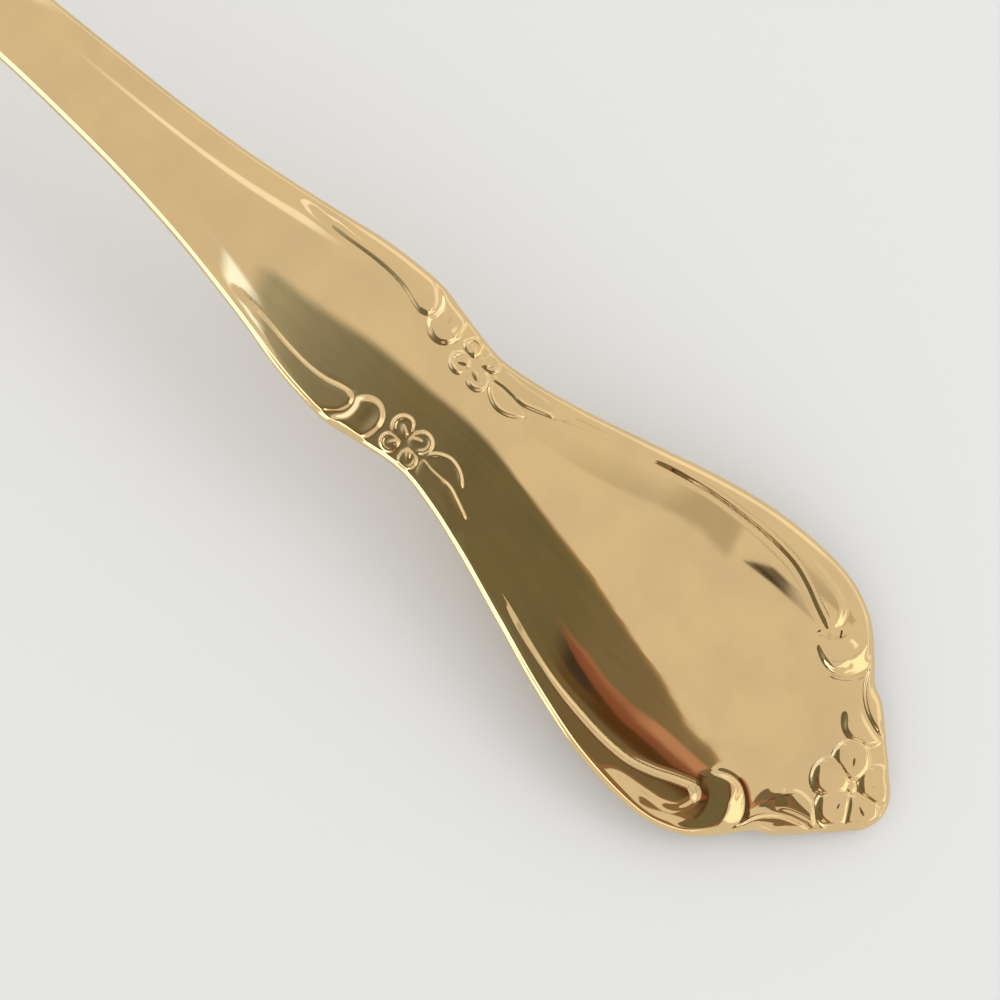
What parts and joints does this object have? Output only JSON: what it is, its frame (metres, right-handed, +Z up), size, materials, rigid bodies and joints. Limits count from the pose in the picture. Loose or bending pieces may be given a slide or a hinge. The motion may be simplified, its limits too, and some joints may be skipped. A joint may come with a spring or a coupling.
{
  "type": "teaspoon",
  "caption": "Gold-plated teaspoon with an egg-shaped bowl, a slim arched stem and a wide crowned handle end edged with rims, scrolls, leaves and a blossom tip.",
  "frame": {"origin": "middle of the bounding box at the table, under the stem", "axes": "+X from the bowl to the handle tip, +Y across the spoon to its left with the handle tip pointing away, +Z up from the table, the spoon lying face up"},
  "size_m": [0.155, 0.033, 0.0155],
  "materials": {
    "gold": "polished"
  },
  "bodies": {
    "root": {"bowl": "gold", "neck": "gold", "stem": "gold", "waist": "gold", "handle_end": "gold", "stem_rim_left": "gold", "stem_rim_right": "gold", "end_rim_left": "gold", "end_rim_right": "gold", "shoulder_scroll_left": "gold", "shoulder_scroll_right": "gold", "end_scroll_left": "gold", "end_scroll_right": "gold", "waist_blossom_left": "gold", "waist_blossom_right": "gold", "waist_inner_leaf_left": "gold", "waist_inner_leaf_right": "gold", "waist_outer_leaf_left": "gold", "waist_outer_leaf_right": "gold", "tip_inner_leaf_left": "gold", "tip_inner_leaf_right": "gold", "tip_outer_leaf_left": "gold", "tip_outer_leaf_right": "gold", "tip_blossom": "gold"}
  },
  "joints": []
}
